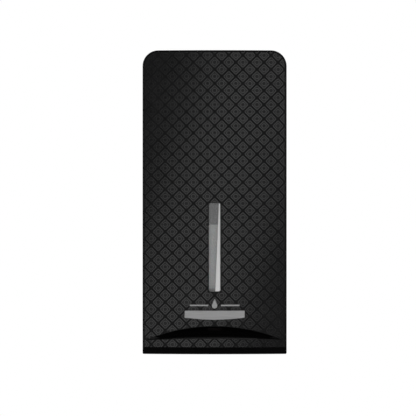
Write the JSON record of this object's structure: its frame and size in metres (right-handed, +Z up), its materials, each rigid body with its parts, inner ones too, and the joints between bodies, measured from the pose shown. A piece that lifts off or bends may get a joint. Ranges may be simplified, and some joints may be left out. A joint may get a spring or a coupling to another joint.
{
  "type": "wall mounted soap dispenser",
  "caption": "Upright touch-free wall soap dispenser with a drop-down patterned cover, level window, lock, refill bottle and a motor-geared lift pump",
  "frame": {"origin": "centre of the rear face that rests on the wall", "axes": "+Z up, +X to the right seen from the front, -Y out of the wall towards the user"},
  "size_m": [0.1386, 0.1045, 0.292],
  "materials": {
    "cover_black": "polished black ABS",
    "mosaic_black": "satin black panel with a fine embossed ring and diamond pattern",
    "smoke_clear": "smoke-tinted clear polycarbonate",
    "badge_satin": "satin grey foil badge",
    "lens_clear": "frosted clear light guide",
    "lock_chrome": "bright plated lock cylinder",
    "steel": "zinc-plated steel",
    "rubber_black": "soft black rubber",
    "housing_grey": "fine-textured dark grey ABS",
    "chassis_black": "fine-textured black ABS",
    "ir_dark": "infrared-pass dark red window",
    "board_green": "green solder mask",
    "parts_black": "moulded component packages",
    "bottle_clear": "frosted clear blow-moulded plastic",
    "soap_white": "pearly liquid soap",
    "cap_white": "ribbed white polypropylene",
    "pump_natural": "natural acetal",
    "seal_grey": "silicone rubber",
    "gear_white": "white acetal gears",
    "brass": "plain brass",
    "gearbox_grey": "light grey glass-filled nylon",
    "battery_sleeve": "plain printed cell sleeve with no wording",
    "wire_red": "insulated wire",
    "switch_white": "white slide knob"
  },
  "bodies": {
    "cover": {"front_cover": "cover_black", "faceplate": "mosaic_black", "sight_window": "smoke_clear", "badge_plate": "badge_satin", "badge_emblem": "badge_satin", "indicator_lens": "ir_dark", "lock_body": "lock_chrome", "lock_nut": "steel"},
    "lock": {"lock_plug": "lock_chrome", "lock_cam": "steel", "cam_screw": "steel"},
    "chassis": {"rear_housing": "housing_grey", "hinge_pins": "steel", "strike_bracket": "steel", "strike_rivets": "steel", "cover_bumpers": "rubber_black", "refill_shelf": "housing_grey", "shelf_screws": "steel", "lower_chassis": "chassis_black", "sensor_windows": "ir_dark", "sensor_board": "board_green", "ir_emitter": "lens_clear", "ir_receiver": "parts_black", "status_lamp": "lens_clear", "board_screws": "steel", "guide_rods": "steel", "refill_bottle": "bottle_clear", "soap_fill": "soap_white", "bottle_cap": "cap_white", "pump_cylinder": "pump_natural", "inlet_ball": "steel", "pump_spring": "steel", "gearbox_base": "gearbox_grey", "gearbox_cover": "gearbox_grey", "gear_axles": "steel", "drive_screws": "steel", "motor_can": "steel", "motor_end_cap": "parts_black", "switch_body": "parts_black", "control_board": "board_green", "board_parts": "parts_black", "battery_box": "housing_grey", "battery_cells": "battery_sleeve", "battery_springs": "steel", "battery_contacts": "steel", "door_pin": "steel", "battery_leads": "wire_red", "motor_leads": "wire_red"},
    "output": {"output_gear": "gear_white"},
    "second": {"second_gear": "gear_white"},
    "first": {"first_gear": "gear_white"},
    "pinion": {"motor_pinion": "brass", "motor_shaft": "steel"},
    "lifter": {"lift_yoke": "gearbox_grey", "pump_stem": "pump_natural", "piston_seal": "seal_grey", "nozzle": "cap_white", "outlet_valve": "seal_grey"},
    "battery_flap": {"battery_door": "housing_grey"},
    "switch_knob": {"switch_slider": "switch_white"}
  },
  "joints": [
    {"name": "cover_hinge", "type": "hinge", "parent": "chassis", "child": "cover", "pos_m": [0, -0.016, -0.134], "axis": [1, 0, 0], "range_deg": [0, 90]},
    {"name": "lock_turn", "type": "hinge", "parent": "cover", "child": "lock", "pos_m": [0, -0.046, 0.138], "axis": [0, 0, 1], "range_deg": [0, 90]},
    {"name": "battery_door_hinge", "type": "hinge", "parent": "chassis", "child": "battery_flap", "pos_m": [0, -0.0385, 0.1196], "axis": [-1, 0, 0], "range_deg": [0, 90]},
    {"name": "output_turn", "type": "hinge", "parent": "chassis", "child": "output", "pos_m": [0.014, -0.042, -0.116], "axis": [0, -1, 0], "range_deg": [0, 92.08]},
    {"name": "second_turn", "type": "hinge", "parent": "chassis", "child": "second", "pos_m": [-0.00599, -0.042, -0.11027], "axis": [0, -1, 0], "range_deg": [-308, 0]},
    {"name": "first_turn", "type": "hinge", "parent": "chassis", "child": "first", "pos_m": [-0.02599, -0.042, -0.116], "axis": [0, -1, 0], "range_deg": [0, 1025]},
    {"name": "motor_turn", "type": "hinge", "parent": "chassis", "child": "pinion", "pos_m": [-0.04685, -0.042, -0.11041], "axis": [0, -1, 0], "range_deg": [-3590, 0]},
    {"name": "pump_lift", "type": "slide", "parent": "chassis", "child": "lifter", "axis": [0, 0, 1], "range_m": [0, 0.0091], "deforming": ["pump_spring"]},
    {"name": "shot_switch", "type": "slide", "parent": "chassis", "child": "switch_knob", "axis": [1, 0, 0], "range_m": [0, 0.006]}
  ],
  "couplings": [
    {"joint": "second_turn", "follows": "output_turn", "ratio": -3.3333},
    {"joint": "first_turn", "follows": "output_turn", "ratio": 11.111},
    {"joint": "motor_turn", "follows": "output_turn", "ratio": -38.889},
    {"joint": "pump_lift", "follows": "output_turn", "m_per_rad": 0.0056}
  ]
}
